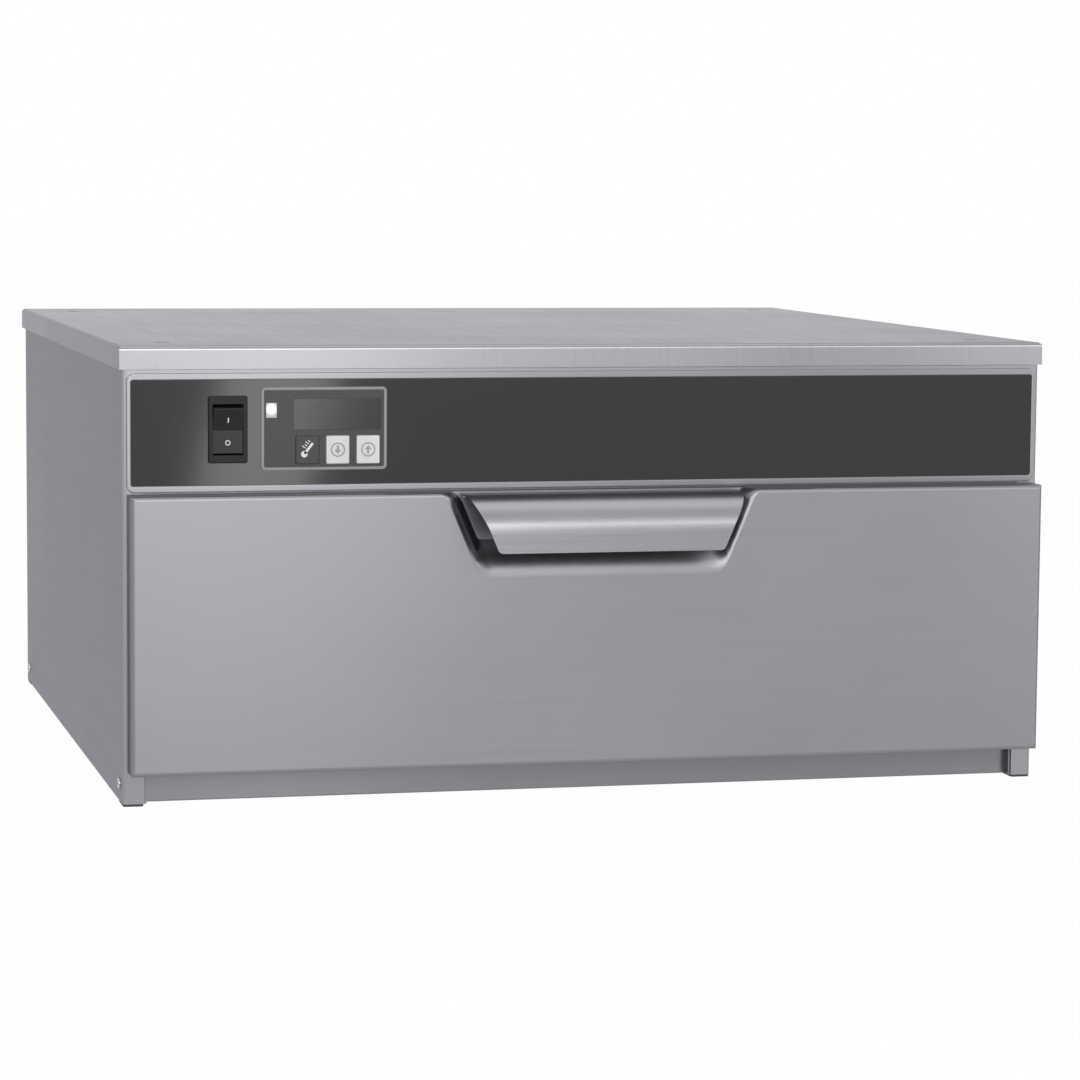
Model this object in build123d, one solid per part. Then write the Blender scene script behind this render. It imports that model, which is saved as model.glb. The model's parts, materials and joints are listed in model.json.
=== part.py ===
from build123d import *
import math
import os

# Countertop warming drawer: a stainless steel case round an insulated, heated cavity, with one deep drawer on
# telescopic slides, a dark control panel above it and a folded sheet handle in a pressed notch.
# Sizes are millimetres. X runs to the right and Z up from the surface it stands on. Y runs to the back and is
# counted from the front of the cover's flange, until place() puts the origin under the middle of the whole.

# Case
COVER_WIDTH = 624.0
COVER_DEPTH = 604.0
HEIGHT = 296.5
SHEET = 1.2
COVER_FLANGE = 15.0
COVER_BEND = 2.8
COVER_GAP = 0.3
FRONT_SETBACK = 2.2
BACK_SETBACK = 9.0
CASE_BEND = 3.0
COLUMN_WIDTH = 14.0
TOP_RETURN = 46.0
FOOT_HEIGHT = 1.5
FOOT_LENGTH = 24.0
RAIL_RECESS = 8.0
RAIL_LEAF = 12.0
BOTTOM_FLANGE = 20.0
SEAT = 0.3

# Cavity, insulation and heater
INSULATION = 25.0
FLOOR_INSULATION = 20.0
LINER_SHEET = 1.0
CAVITY_DROP = 10.5
CABLE_RADIUS = 1.6
CABLE_TURN = 18.0
CABLE_RUNS = 13
CABLE_SIDE_SPACE = 25.3
CABLE_FIRST_Y = 60.0
CABLE_SPACE = 4.0
PROBE_RADIUS = 3.0
PROBE_LENGTH = 48.0
PROBE_X = -120.0
PROBE_DROP = 13.9
THERMOSTAT_RADIUS = 8.5
THERMOSTAT_HEIGHT = 14.0
THERMOSTAT_Y = 300.0

# Drawer front and handle
DRAWER_REVEAL = 5.0
DRAWER_BOTTOM = 22.2
DRAWER_GAP = 0.8
FACE_PROUD = 18.5
FACE_BEND = 2.6
FACE_GAP = 0.3
NOTCH_TOP_HALF = 100.5
NOTCH_BOTTOM_HALF = 77.0
NOTCH_HEIGHT = 55.6
NOTCH_SHOULDER = 11.0
NOTCH_CORNER = 9.0
POCKET_X = 1.6
POCKET_DEPTH = 12.5
POCKET_MOUTH = 5.0
POCKET_SLOPE = 10.8
POCKET_RISE = 24.0
HANDLE_SHEET = 1.5
HANDLE_TOP_HALF = 93.0
HANDLE_HALF = 82.5
HANDLE_LIP_HALF = 75.2
HANDLE_PROUD = 26.5
HANDLE_TOP_GAP = 0.8
HANDLE_SHOULDER_DROP = 20.0
HANDLE_DROP = 37.2
HANDLE_WELD = 10.0
HANDLE_SWEEP = 23.0
HANDLE_FOLD = 2.5
HANDLE_CORNER = 4.0
HEM_HEIGHT = 4.0
HEM_SHEET = 0.8

# Slides, drawer frame and pan
TRAVEL = 470.0
SLIDE_LENGTH = 500.0
SLIDE_FRONT = 8.0
SLIDE_DROP = 25.2
SLIDE_SHEET = 1.2
SLIDE_THICKNESS = 12.7
OUTER_RAIL_HALF = 22.7
BALL_RADIUS = 1.6
BALL_PLAY = 0.3
CAGE_LENGTH = 140.0
CAGE_BALLS = 6
CAGE_WIDTH = 5.0
CAGE_SHEET = 0.8
FRAME_BACK = 486.0
FRAME_DROP = 49.0
FRAME_HEADROOM = 19.7
FRAME_LEDGE = 12.6
PAN_SHEET = 0.8
PAN_RIM = 10.0
PAN_RIM_RISE = 3.3
PAN_CLEARANCE = 9.6
PAN_TAPER = 8.0
PAN_CORNER = 40.0
PAN_FLOOR_ROUND = 14.0
PAN_PLAY = 3.0
GASKET_BAND = 6.0
GASKET_THICKNESS = 1.2

# Electrical parts above the cavity
TRAY_SETBACK = 20.0
TRAY_LIP = 14.0
RELAY_X = -70.0
RELAY_BACK_INSET = 130.6
RELAY_WIDTH = 50.0
RELAY_DEPTH = 32.0
RELAY_HEIGHT = 36.0
BLADE_WIDTH = 6.0
BLADE_HEIGHT = 8.0
BLADE_PITCH = 10.0
TERMINAL_SIDE_INSET = 49.3
TERMINAL_BACK_INSET = 70.6
TERMINAL_WIDTH = 60.0
TERMINAL_DEPTH = 22.0
TERMINAL_HEIGHT = 20.0
TERMINAL_COUNT = 5
TERMINAL_SCREW_RADIUS = 3.0

# Control panel
PANEL_HEIGHT = 78.8
PANEL_GAP = 0.3
TRIM_THICKNESS = 1.2
TRIM_SIDE = 2.7
TRIM_BAND = 4.2
TRIM_CORNER = 5.0
OVERLAY_THICKNESS = 0.5
PANEL_SHEET = 1.2
ROCKER_INSET = 65.0
ROCKER_DROP = 38.4
ROCKER_BEZEL_WIDTH = 25.4
ROCKER_BEZEL_HEIGHT = 43.2
ROCKER_BODY_WIDTH = 22.8
ROCKER_BODY_HEIGHT = 38.0
ROCKER_BODY_DEPTH = 24.0
ROCKER_WIDTH = 19.2
ROCKER_RADIUS = 16.1
ROCKER_AXIS_DEPTH = 4.0
ROCKER_TILT = 9.0
ROCKER_PIN_RADIUS = 1.6
ROCKER_PIN_PLAY = 0.05
ROCKER_PLAY = 0.3
KEYPAD_INSET = 127.6
KEYPAD_DROP = 38.2
KEYPAD_WIDTH = 82.2
KEYPAD_HEIGHT = 53.6
KEYPAD_FRAME = 2.0
KEY_DROP = 13.8
KEY_PITCH = 19.9
KEY_FIRST_OFFSET = 11.0
KEY_WIDTH = 15.0
KEY_HEIGHT = 18.0
KEY_PLAY = 0.3
KEY_TRAVEL = 0.5
KEY_FLANGE = 0.7
DISPLAY_OFFSET = 8.6
DISPLAY_RISE = 9.2
DISPLAY_WIDTH = 56.6
DISPLAY_HEIGHT = 19.8
LAMP_OFFSET = 34.4
LAMP_RISE = 11.9
LAMP_WIDTH = 7.0
LAMP_HEIGHT = 9.6
BOARD_DEPTH = 8.4
BOARD_SHEET = 1.6
BOARD_MARGIN = 5.4
BOARD_TRIM = 2.0
SPACER_RADIUS = 3.0
SPACER_BORE = 1.3

# Cable gland, vents and screws
GLAND_INSET = 80.5
GLAND_DROP = 41.5
GLAND_BORE = 4.25
GLAND_THREAD = 7.8
GLAND_NUT = 11.0
GLAND_PROUD = 8.4
VENT_COUNT = 14
VENT_PITCH = 12.0
VENT_WIDTH = 4.0
VENT_HEIGHT = 24.0
VENT_DROP = 34.5
COVER_SCREW_SIDE_INSET = 34.0
COVER_SCREW_INSET = 46.0
SCREW_RADIUS = 2.0
SCREW_HEAD = 3.6
SCREW_HEAD_RISE = 1.2
SCREW_PLAY = 0.15
SIDE_SCREW_Y = 18.0
SIDE_SCREW_Z = 13.0
DRAWER_SCREW_X = 90.0
DRAWER_SCREW_INSET = 30.6
DRAWER_SCREW_RISE = 8.0

# Worked out from the sizes above
CASE_X = COVER_WIDTH / 2 - SHEET - COVER_GAP
CASE_INSIDE_X = CASE_X - SHEET
CASE_TOP = HEIGHT - SHEET
CASE_BACK = COVER_DEPTH - BACK_SETBACK
SIDE_BACK = CASE_BACK - SHEET
CASE_INSIDE_BACK = SIDE_BACK - SHEET
COLUMN_BACK = FRONT_SETBACK + SHEET
FRAME_FACE_BACK = COLUMN_BACK + SHEET
COLUMN_X = CASE_X - COLUMN_WIDTH
FLAT_X = CASE_X - CASE_BEND
RAIL_Y = FRONT_SETBACK + RAIL_RECESS
BOTTOM_TOP = FOOT_HEIGHT + 2 * SHEET
RAIL_TOP = DRAWER_BOTTOM + SEAT
PANEL_TOP = HEIGHT - COVER_FLANGE - PANEL_GAP
PANEL_BOTTOM = PANEL_TOP - PANEL_HEIGHT
CAVITY_X = CASE_INSIDE_X - INSULATION - LINER_SHEET
CAVITY_FLOOR = BOTTOM_TOP + FLOOR_INSULATION + CABLE_SPACE + LINER_SHEET
CAVITY_ROOF = PANEL_BOTTOM - CAVITY_DROP
CAVITY_BACK = CASE_INSIDE_BACK - INSULATION - 2 * LINER_SHEET
CABLE_HALF_RUN = CAVITY_X - CABLE_TURN - CABLE_SIDE_SPACE
PROBE_Z = CAVITY_ROOF - PROBE_DROP
ROOF_PAD_TOP = CAVITY_ROOF + LINER_SHEET + INSULATION
COVER_BACK_SCREW_Y = CASE_BACK - COVER_SCREW_INSET
COVER_SCREW_X = COVER_WIDTH / 2 - COVER_SCREW_SIDE_INSET
GLAND_X = GLAND_INSET - CASE_X
GLAND_Z = HEIGHT - GLAND_DROP
VENT_Z = HEIGHT - VENT_DROP
DRAWER_BACK = FRONT_SETBACK - FACE_GAP
DRAWER_TOP = PANEL_BOTTOM - DRAWER_GAP
DRAWER_X = COVER_WIDTH / 2 - DRAWER_REVEAL
NOTCH_BOTTOM = DRAWER_TOP - NOTCH_HEIGHT
POCKET_Y = POCKET_DEPTH - FACE_PROUD
LIP_Y = -FACE_PROUD - HANDLE_PROUD
HANDLE_LIP_BOTTOM = DRAWER_TOP - HANDLE_DROP
FRAME_X = CAVITY_X - SLIDE_THICKNESS
FRAME_TOP = CAVITY_ROOF - FRAME_HEADROOM
FRAME_BOTTOM = FRAME_TOP - FRAME_DROP
SLIDE_Z = FRAME_TOP - SLIDE_DROP
PAN_RIM_TOP = FRAME_TOP + PAN_RIM_RISE
PAN_DEPTH = PAN_RIM_TOP - CAVITY_FLOOR - PAN_CLEARANCE
LEDGE_FRONT = DRAWER_BACK + SLIDE_SHEET + FRAME_LEDGE
LEDGE_BACK = FRAME_BACK - SLIDE_SHEET - FRAME_LEDGE
PANEL_FRONT = FRONT_SETBACK - PANEL_SHEET
OVERLAY_FRONT = PANEL_FRONT - OVERLAY_THICKNESS
KEYPAD_FRONT = OVERLAY_FRONT - 0.6
ROCKER_X = ROCKER_INSET - FLAT_X
ROCKER_Z = PANEL_TOP - ROCKER_DROP
KEYPAD_X = KEYPAD_INSET - FLAT_X
KEYPAD_Z = PANEL_TOP - KEYPAD_DROP
KEY_Z = KEYPAD_Z - KEY_DROP
KEY_XS = [KEYPAD_X - KEY_FIRST_OFFSET + i * KEY_PITCH for i in range(3)]
DISPLAY_X = KEYPAD_X + DISPLAY_OFFSET
DISPLAY_Z = KEYPAD_Z + DISPLAY_RISE
LAMP_X = KEYPAD_X - LAMP_OFFSET
LAMP_Z = KEYPAD_Z + LAMP_RISE
BOARD_FRONT = FRONT_SETBACK + BOARD_DEPTH - 2.2
Y_MIDDLE = (LIP_Y + COVER_DEPTH) / 2


# ---- ways of making a piece

def block(x, y, z):
    """A box between two x, two y and two z values."""
    size = [b - a for a, b in (x, y, z)]
    middle = [(a + b) / 2 for a, b in (x, y, z)]
    return Pos(*middle) * Box(*size)


def panel(outline, y):
    """An outline drawn in x and z, made solid between two y values."""
    return extrude(Plane((0, y[1], 0), x_dir=(1, 0, 0), z_dir=(0, -1, 0)) * outline, y[1] - y[0])


def bar(outline, x):
    """An outline drawn in y and z, made solid between two x values."""
    return extrude(Plane((x[0], 0, 0), x_dir=(0, 1, 0), z_dir=(1, 0, 0)) * outline, x[1] - x[0])


def post(outline, z):
    """An outline drawn in x and y, made solid between two z values."""
    return extrude(Plane((0, 0, z[0])) * outline, z[1] - z[0])


def rod(radius, start, axis, length):
    """A round bar from start along an axis."""
    return extrude(Plane(start, z_dir=axis) * Circle(radius), length)


def rounded(x, z, width, height, radius):
    """A rectangle with round corners about the point x, z."""
    return Pos(x, z) * RectangleRounded(width, height, radius)


def both_sides(right):
    """A right-hand piece and its mirror image on the left, as one group of two solids."""
    return Compound([right, mirror(right, Plane.YZ)])


def top_edges(solid):
    """The edges round the solid's highest face."""
    return solid.faces().sort_by(Axis.Z)[-1].edges()


def front_edges(solid):
    """The edges round the solid's foremost face."""
    return solid.faces().sort_by(Axis.Y)[0].edges()


def pan_head(point, axis, grip):
    """A cross-headed screw whose head sits on a face at point, with axis pointing out of the face."""
    inward = [-a for a in axis]
    head = rod(SCREW_HEAD, point, axis, SCREW_HEAD_RISE)
    outer = head.faces().sort_by(lambda f: Vector(*axis).dot(f.center()))[-1]
    head = fillet(outer.edges(), SCREW_HEAD_RISE * 0.6)
    plane = Plane(Vector(*point) + Vector(*axis) * SCREW_HEAD_RISE, z_dir=axis)
    slot = Rectangle(0.9, SCREW_HEAD) + Rectangle(SCREW_HEAD, 0.9)
    return head + rod(SCREW_RADIUS, point, inward, grip) - extrude(plane * slot, -SCREW_HEAD_RISE * 0.5)


# ---- case

def top_cover():
    """The folded lid: a flat top with a turned-down flange all round, and four countersunk screw holes."""
    bottom = HEIGHT - COVER_FLANGE
    x = COVER_WIDTH / 2
    outside = block((-x, x), (0, COVER_DEPTH), (bottom, HEIGHT))
    outside = fillet(top_edges(outside), COVER_BEND)
    inside = block((SHEET - x, x - SHEET), (SHEET, COVER_DEPTH - SHEET), (bottom - 1, CASE_TOP))
    inside = fillet(top_edges(inside), COVER_BEND - SHEET)
    cover = outside - inside
    for x_screw, y_screw in cover_screw_places():
        cover -= Pos(x_screw, y_screw, HEIGHT - SHEET / 2) * Cone(SCREW_RADIUS + SCREW_PLAY, 5.2, SHEET)
    return cover


def cover_screw_places():
    return [(s * COVER_SCREW_X, y) for s in (-1, 1) for y in (COVER_SCREW_INSET, COVER_BACK_SCREW_Y)]


def right_side_panel():
    """One sheet folded into the side wall, front column, back return and the flanges at its top and bottom."""
    middle_x = CASE_X - SHEET / 2
    front = FRONT_SETBACK + SHEET / 2
    back = SIDE_BACK - SHEET / 2
    path = FilletPolyline((COLUMN_X, back), (middle_x, back), (middle_x, front), (COLUMN_X, front),
                          radius=CASE_BEND - SHEET / 2)
    wall = post(trace(path, SHEET), (FOOT_HEIGHT, CASE_TOP))
    depth = (COLUMN_BACK, CASE_INSIDE_BACK)
    top = block((CASE_X - TOP_RETURN, CASE_INSIDE_X), depth, (CASE_TOP - SHEET, CASE_TOP))
    bottom = block((COLUMN_X, CASE_INSIDE_X), depth, (FOOT_HEIGHT, FOOT_HEIGHT + SHEET))
    side = wall + top + bottom
    outline = [e for e in side.edges().group_by(Axis.Z)[-1] if is_case_outline(e)]
    side = fillet(outline, COVER_BEND - SHEET + 0.4)
    for x_screw, y_screw in cover_screw_places():
        side -= rod(SCREW_RADIUS + SCREW_PLAY, (x_screw, y_screw, CASE_TOP - 2 * SHEET), (0, 0, 1), 4 * SHEET)
    for y, z in side_screw_places():
        side -= rod(SCREW_RADIUS + SCREW_PLAY, (CASE_INSIDE_X - SHEET, y, z), (1, 0, 0), 4 * SHEET)
    for x, z in back_screw_places():
        side -= rod(SCREW_RADIUS + SCREW_PLAY, (x, CASE_BACK + SHEET, z), (0, -1, 0), 5 * SHEET)
    return side


def is_case_outline(edge):
    """True for the straight and round edges where the side wall's outer face meets its top."""
    middle = edge @ 0.5
    on_side = middle.X > CASE_X - 0.01
    on_bend = middle.X > FLAT_X + 0.3 and edge.geom_type == GeomType.CIRCLE and edge.radius > CASE_BEND - 0.1
    on_end = middle.X > COLUMN_X and (middle.Y < FRONT_SETBACK + 0.01 or middle.Y > SIDE_BACK - 0.01)
    return on_side or on_bend or on_end


def side_screw_places():
    return [(y, SIDE_SCREW_Z) for y in (SIDE_SCREW_Y, CASE_INSIDE_BACK - SIDE_SCREW_Y)]


def back_screw_places():
    x = (COLUMN_X + FLAT_X) / 2
    return [(s * x, z) for s in (-1, 1) for z in (BOTTOM_TOP + 20, HEIGHT / 2, HEIGHT - 2 * COVER_FLANGE)]


def back_panel():
    """A flat plate screwed over the side panels' back returns, with upright vent slots near its top."""
    top = HEIGHT - COVER_FLANGE / 2
    bottom = FOOT_HEIGHT + SHEET
    outline = rounded(0, (top + bottom) / 2, 2 * FLAT_X, top - bottom, 2)
    for i in range(VENT_COUNT):
        x = (i - (VENT_COUNT - 1) / 2) * VENT_PITCH
        outline -= rounded(x, VENT_Z, VENT_WIDTH, VENT_HEIGHT, VENT_WIDTH / 2 - 0.01)
    outline -= Pos(GLAND_X, GLAND_Z) * Circle(GLAND_THREAD + 0.2)
    for x, z in back_screw_places():
        outline -= Pos(x, z) * Circle(SCREW_RADIUS + SCREW_PLAY)
    return panel(outline, (SIDE_BACK, CASE_BACK))


def bottom_panel():
    """The case's floor, lying on the side panels' bottom flanges, with its own edges turned up at the sides."""
    depth = (RAIL_Y + SHEET + SEAT, SIDE_BACK - CASE_BEND)
    top = FOOT_HEIGHT + 2 * SHEET
    floor = block((-CASE_INSIDE_X, CASE_INSIDE_X), depth, (top - SHEET, top))
    flange = block((CASE_INSIDE_X - SHEET, CASE_INSIDE_X), depth, (top, top + BOTTOM_FLANGE - 2))
    for y, z in side_screw_places():
        flange -= rod(SCREW_RADIUS + SCREW_PLAY, (CASE_INSIDE_X - 2 * SHEET, y, z), (1, 0, 0), 3 * SHEET)
    return floor + flange + mirror(flange, Plane.YZ)


def front_rail():
    """The low channel under the drawer front, set back between the front columns and folded out to them."""
    x = COLUMN_X - SEAT
    leaf = RAIL_Y + RAIL_LEAF
    face = block((-x, x), (RAIL_Y, RAIL_Y + SHEET), (FOOT_HEIGHT, RAIL_TOP))
    top = block((-x, x), (RAIL_Y, leaf), (RAIL_TOP - SHEET, RAIL_TOP))
    bottom = block((-x, x), (RAIL_Y, leaf), (FOOT_HEIGHT, FOOT_HEIGHT + SHEET))
    rail = face + top + bottom
    front = [e for e in rail.edges().filter_by(Axis.X) if (e @ 0.5).Y < RAIL_Y + 0.01]
    tab = block((x - SHEET, x), (COLUMN_BACK, RAIL_Y + SHEET), (FOOT_HEIGHT, RAIL_TOP))
    return fillet(front, SHEET * 0.8) + tab + mirror(tab, Plane.YZ)


def face_frame():
    """The frame round the drawer's opening, behind the front columns, with a flange onto the front rail."""
    width = 2 * (CASE_INSIDE_X - CASE_BEND)
    outer = Pos(0, (RAIL_TOP + PANEL_BOTTOM) / 2) * Rectangle(width, PANEL_BOTTOM - RAIL_TOP)
    opening = Pos(0, (CAVITY_FLOOR + CAVITY_ROOF) / 2) * Rectangle(2 * CAVITY_X, CAVITY_ROOF - CAVITY_FLOOR)
    frame = panel(outer - opening, (COLUMN_BACK, FRAME_FACE_BACK))
    x = COLUMN_X - SEAT
    return frame + block((-x, x), (COLUMN_BACK, RAIL_Y + RAIL_LEAF), (RAIL_TOP, RAIL_TOP + SHEET))


def top_rail():
    """The folded rail behind the top of the control panel, which also holds up the cover's front edge."""
    x = COLUMN_X - SEAT
    x_top = CASE_X - TOP_RETURN - SEAT
    face = block((-x, x), (FRONT_SETBACK, COLUMN_BACK), (PANEL_TOP - COLUMN_WIDTH / 2, CASE_TOP))
    top = block((-x_top, x_top), (FRONT_SETBACK, RAIL_Y + RAIL_LEAF), (CASE_TOP - SHEET, CASE_TOP))
    rail = face + top
    front = [e for e in rail.edges().filter_by(Axis.X)
             if (e @ 0.5).Y < FRONT_SETBACK + 0.01 and (e @ 0.5).Z > CASE_TOP - 0.01]
    return fillet(front, SHEET * 0.9)


def corner_feet():
    """Four thin pads under the corners of the side panels."""
    half = FOOT_LENGTH / 2
    places = [(s * (CASE_X - COLUMN_WIDTH / 2), y)
              for s in (-1, 1) for y in (FRONT_SETBACK + half, SIDE_BACK - half)]
    pad = extrude(RectangleRounded(COLUMN_WIDTH - 1, FOOT_LENGTH, 2), FOOT_HEIGHT)
    return Compound([Pos(x, y) * pad for x, y in places])


# ---- cavity, insulation and heater

def liner_floor():
    z = (CAVITY_FLOOR - LINER_SHEET, CAVITY_FLOOR)
    return block((-CAVITY_X, CAVITY_X), (FRAME_FACE_BACK, CAVITY_BACK), z)


def liner_roof():
    z = (CAVITY_ROOF, CAVITY_ROOF + LINER_SHEET)
    return block((-CAVITY_X, CAVITY_X), (FRAME_FACE_BACK, CAVITY_BACK), z)


def liner_side_walls():
    wall = block((CAVITY_X, CAVITY_X + LINER_SHEET), (FRAME_FACE_BACK, CAVITY_BACK),
                 (CAVITY_FLOOR - LINER_SHEET, CAVITY_ROOF + LINER_SHEET))
    return both_sides(wall)


def liner_back_wall():
    x = CAVITY_X + LINER_SHEET
    wall = block((-x, x), (CAVITY_BACK, CAVITY_BACK + LINER_SHEET),
                 (CAVITY_FLOOR - LINER_SHEET, CAVITY_ROOF + LINER_SHEET))
    return wall - rod(PROBE_RADIUS + SCREW_PLAY, (PROBE_X, CAVITY_BACK - 1, PROBE_Z), (0, 1, 0), 4)


def heating_cable():
    """A resistance cable laid back and forth under the cavity's floor, all one length."""
    z = CAVITY_FLOOR - LINER_SHEET - SEAT - CABLE_RADIUS
    edges = []
    for i in range(CABLE_RUNS):
        y = CABLE_FIRST_Y + i * 2 * CABLE_TURN
        side = 1 if i % 2 == 0 else -1
        start = (-side * CABLE_HALF_RUN, y, z)
        end = (side * CABLE_HALF_RUN, y, z)
        edges.append(Line(start, end))
        if i < CABLE_RUNS - 1:
            outermost = (side * (CABLE_HALF_RUN + CABLE_TURN), y + CABLE_TURN, z)
            edges.append(ThreePointArc(end, outermost, (end[0], y + 2 * CABLE_TURN, z)))
    path = Wire(edges)
    return sweep(Plane(path @ 0, z_dir=path % 0) * Circle(CABLE_RADIUS), path)


def insulation_pads():
    """The mineral wool round the cavity: floor, roof, two sides and back, as loose slabs."""
    front = FRAME_FACE_BACK + SEAT
    back = CASE_INSIDE_BACK - CASE_BEND
    liner_back = CAVITY_BACK + LINER_SHEET + SEAT
    liner_x = CAVITY_X + LINER_SHEET + SEAT
    x = CASE_INSIDE_X - SHEET - SEAT
    under = CAVITY_FLOOR - LINER_SHEET - CABLE_SPACE
    roof = CAVITY_ROOF + LINER_SHEET
    wool = (under + SEAT, roof)
    floor_pad = block((6 - x, x - 6), (RAIL_Y + RAIL_LEAF + SEAT, back), (BOTTOM_TOP, under))
    roof_pad = block((-x, x), (front, back), (roof, ROOF_PAD_TOP))
    roof_pad -= block((-x, x), (front, front + BOARD_DEPTH), (PANEL_BOTTOM, ROOF_PAD_TOP))
    roof_pad -= rod(THERMOSTAT_RADIUS + 1, (0, THERMOSTAT_Y, roof - 1), (0, 0, 1), INSULATION + 2)
    side_pad = block((liner_x, x), (front, back), wool)
    back_pad = block((-CAVITY_X, CAVITY_X), (liner_back, back), wool)
    back_pad -= rod(PROBE_RADIUS + 1, (PROBE_X, CAVITY_BACK, PROBE_Z), (0, 1, 0), 2 * INSULATION)
    return Compound([floor_pad, roof_pad, side_pad, mirror(side_pad, Plane.YZ), back_pad])


def temperature_probe():
    """The air probe, pushed through the cavity's back wall and stopped by a collar."""
    start = CAVITY_BACK - PROBE_LENGTH + INSULATION / 2
    tube = rod(PROBE_RADIUS, (PROBE_X, start, PROBE_Z), (0, 1, 0), PROBE_LENGTH)
    tube = fillet(front_edges(tube), PROBE_RADIUS * 0.8)
    return tube + rod(PROBE_RADIUS * 2, (PROBE_X, CAVITY_BACK - 2, PROBE_Z), (0, 1, 0), 2)


def high_limit_thermostat():
    """The cut-out that clips to the top of the liner and stops the heater if it overheats."""
    base = CAVITY_ROOF + LINER_SHEET
    can = rod(THERMOSTAT_RADIUS, (0, THERMOSTAT_Y, base), (0, 0, 1), THERMOSTAT_HEIGHT)
    can = fillet(top_edges(can), 1)
    tabs = [block((x - 3, x + 3), (THERMOSTAT_Y - 0.5, THERMOSTAT_Y + 0.5),
                  (base + THERMOSTAT_HEIGHT - 1, base + THERMOSTAT_HEIGHT + 7)) for x in (-4, 4)]
    return can + tabs[0] + tabs[1]


# ---- electrical parts above the cavity

def electronics_tray():
    """A shelf over the roof wool that carries the relay and the terminal block."""
    depth = (FRAME_FACE_BACK + TRAY_SETBACK, CASE_INSIDE_BACK - CASE_BEND)
    plate = block((-CASE_INSIDE_X, CASE_INSIDE_X), depth, (ROOF_PAD_TOP, ROOF_PAD_TOP + SHEET))
    lip = block((CASE_INSIDE_X - SHEET, CASE_INSIDE_X), depth, (ROOF_PAD_TOP, ROOF_PAD_TOP + TRAY_LIP))
    return plate + lip + mirror(lip, Plane.YZ)


def power_relay():
    """The relay that switches the heating cable, with its four blade terminals."""
    base = ROOF_PAD_TOP + SHEET
    top = base + RELAY_HEIGHT
    back = CASE_INSIDE_BACK - RELAY_BACK_INSET
    middle = back - RELAY_DEPTH / 2
    x = (RELAY_X - RELAY_WIDTH / 2, RELAY_X + RELAY_WIDTH / 2)
    case = block(x, (back - RELAY_DEPTH, back), (base, top))
    case = fillet(case.edges().filter_by(Axis.Z) + top_edges(case), 2)
    for i in range(4):
        x = RELAY_X + (i - 1.5) * BLADE_PITCH
        case += block((x - BLADE_WIDTH / 2, x + BLADE_WIDTH / 2), (middle - 0.4, middle + 0.4),
                      (top - 1, top + BLADE_HEIGHT))
    return case


def terminal_block():
    """The screw terminals where the supply cable ends, in two rows with slots between the poles."""
    base = ROOF_PAD_TOP + SHEET
    top = base + TERMINAL_HEIGHT
    left = TERMINAL_SIDE_INSET - CASE_INSIDE_X
    back = CASE_INSIDE_BACK - TERMINAL_BACK_INSET
    front = back - TERMINAL_DEPTH
    pitch = TERMINAL_WIDTH / TERMINAL_COUNT
    body = block((left, left + TERMINAL_WIDTH), (front, back), (base, top))
    for i in range(TERMINAL_COUNT):
        x = left + (i + 0.5) * pitch
        for y in (front + 2 * TERMINAL_SCREW_RADIUS, back - 2 * TERMINAL_SCREW_RADIUS):
            body -= rod(TERMINAL_SCREW_RADIUS, (x, y, top + 1), (0, 0, -1), 8)
    for i in range(1, TERMINAL_COUNT):
        x = left + i * pitch
        body -= block((x - 0.8, x + 0.8), (front - 1, back + 1), (top - 8, top + 1))
    return body


def cable_gland():
    """The gland in the back panel that the supply cable would enter by, with its lock nut inside."""
    inner = CASE_BACK - SHEET - 9
    flange_back = CASE_BACK + 4.6
    hexagon = RegularPolygon(GLAND_NUT, 6)
    lock_nut = extrude(Plane((GLAND_X, CASE_BACK - SHEET, GLAND_Z), z_dir=(0, -1, 0)) * hexagon, 4)
    flange = extrude(Plane((GLAND_X, CASE_BACK, GLAND_Z), z_dir=(0, 1, 0)) * hexagon, 4.6)
    dome = rod(GLAND_NUT * 0.82, (GLAND_X, flange_back, GLAND_Z), (0, 1, 0), GLAND_PROUD - 4.6)
    dome = fillet(dome.faces().sort_by(Axis.Y)[-1].edges(), 2.4)
    thread = rod(GLAND_THREAD, (GLAND_X, inner, GLAND_Z), (0, 1, 0), CASE_BACK - inner)
    bore = rod(GLAND_BORE, (GLAND_X, inner - 1, GLAND_Z), (0, 1, 0), 30)
    return thread + lock_nut + flange + dome - bore


# ---- control panel

def rocker_hole(play):
    return rounded(ROCKER_X, ROCKER_Z, ROCKER_BODY_WIDTH + play, ROCKER_BODY_HEIGHT + play, 1)


def keypad_hole():
    inset = 2 * (KEYPAD_FRAME + 1)
    return rounded(KEYPAD_X, KEYPAD_Z, KEYPAD_WIDTH - inset, KEYPAD_HEIGHT - inset, 1)


def fascia_plate():
    """The stainless plate across the top of the front, with its cut-outs and a flange along its lower edge."""
    middle = (PANEL_BOTTOM + PANEL_TOP) / 2
    outline = Pos(0, middle) * Rectangle(2 * FLAT_X, PANEL_TOP - PANEL_BOTTOM)
    plate = panel(outline - rocker_hole(0.2) - keypad_hole(), (PANEL_FRONT, FRONT_SETBACK))
    x = COLUMN_X - SEAT
    return plate + block((-x, x), (PANEL_FRONT, FRAME_FACE_BACK), (PANEL_BOTTOM, PANEL_BOTTOM + PANEL_SHEET))


def trim_window(play):
    width = 2 * (FLAT_X - TRIM_SIDE - play)
    height = PANEL_TOP - PANEL_BOTTOM - 2.5 - 2 * (TRIM_BAND + play)
    return rounded(0, (PANEL_TOP + PANEL_BOTTOM - 1.9) / 2, width, height, 1.5)


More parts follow.
